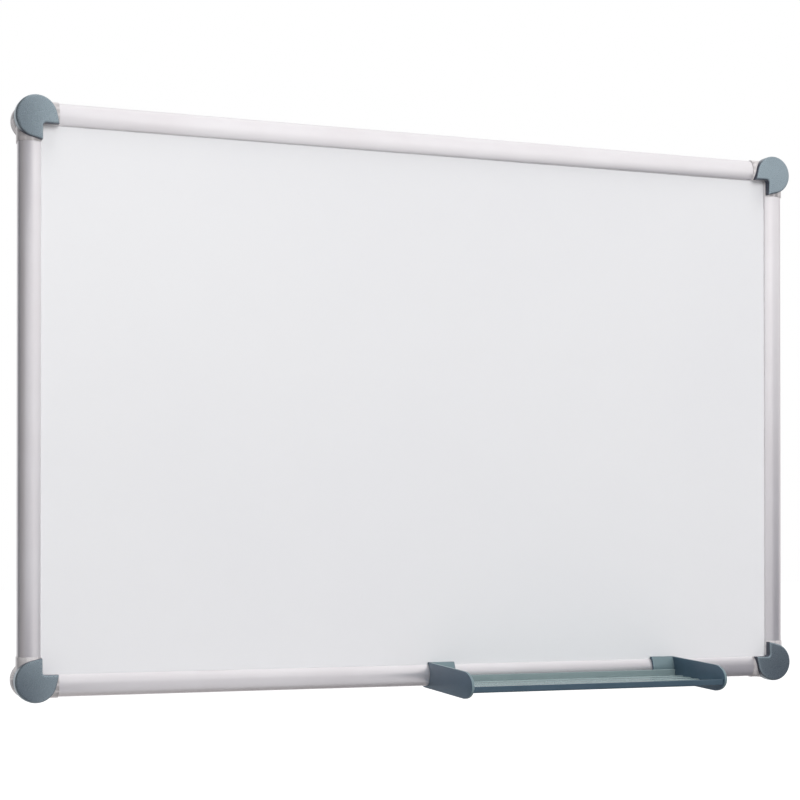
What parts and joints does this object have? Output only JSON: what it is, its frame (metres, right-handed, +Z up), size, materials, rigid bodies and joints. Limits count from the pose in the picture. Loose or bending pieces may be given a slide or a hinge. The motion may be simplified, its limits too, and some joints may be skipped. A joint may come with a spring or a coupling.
{
  "type": "magnetic whiteboard",
  "caption": "Wall-hung magnetic whiteboard: white steel-faced panel, rounded aluminium frame with capped round corners, and a clip-on ribbed pen tray that slides along the lower bar.",
  "frame": {"origin": "the middle of the wall plane behind the board, halfway between the four wall pads", "axes": "+X to the right of someone facing the board, +Y into the wall, +Z up"},
  "size_m": [0.9098, 0.14, 0.6119],
  "materials": {
    "white_enamel": "gloss white enamel",
    "core_board": "pressed wood fibre",
    "backing_sheet": "plain mill finish",
    "frame_aluminium": "satin anodised",
    "corner_body": "silver-grey moulded",
    "corner_cap": "blue-grey, fine grain",
    "tray_bracket": "dark blue-grey, fine grain",
    "tray_trough": "blue-grey, satin",
    "screw_zinc": "bright zinc"
  },
  "bodies": {
    "board": {"writing_sheet": "white_enamel", "core_board": "core_board", "backing_sheet": "backing_sheet", "frame_bottom": "frame_aluminium", "frame_right": "frame_aluminium", "frame_top": "frame_aluminium", "frame_left": "frame_aluminium", "corner_body_bottom_left": "corner_body", "leg_screw_bottom_left_1": "screw_zinc", "leg_screw_bottom_left_2": "screw_zinc", "corner_body_bottom_right": "corner_body", "leg_screw_bottom_right_1": "screw_zinc", "leg_screw_bottom_right_2": "screw_zinc", "corner_body_top_right": "corner_body", "leg_screw_top_right_1": "screw_zinc", "leg_screw_top_right_2": "screw_zinc", "corner_body_top_left": "corner_body", "leg_screw_top_left_1": "screw_zinc", "leg_screw_top_left_2": "screw_zinc"},
    "tray": {"tray_bracket_left": "tray_bracket", "tray_bracket_right": "tray_bracket", "tray_trough": "tray_trough"},
    "cap_bottom_left": {"corner_cap_bottom_left": "corner_cap"},
    "cap_bottom_right": {"corner_cap_bottom_right": "corner_cap"},
    "cap_top_right": {"corner_cap_top_right": "corner_cap"},
    "cap_top_left": {"corner_cap_top_left": "corner_cap"}
  },
  "joints": [
    {"name": "tray_slide", "type": "slide", "parent": "board", "child": "tray", "axis": [1, 0, 0], "range_m": [-0.406, 0.104]},
    {"name": "cap_pull_bottom_left", "type": "slide", "parent": "board", "child": "cap_bottom_left", "axis": [0, -1, 0], "range_m": [0, 0.012]},
    {"name": "cap_pull_bottom_right", "type": "slide", "parent": "board", "child": "cap_bottom_right", "axis": [0, -1, 0], "range_m": [0, 0.012]},
    {"name": "cap_pull_top_right", "type": "slide", "parent": "board", "child": "cap_top_right", "axis": [0, -1, 0], "range_m": [0, 0.012]},
    {"name": "cap_pull_top_left", "type": "slide", "parent": "board", "child": "cap_top_left", "axis": [0, -1, 0], "range_m": [0, 0.012]}
  ]
}
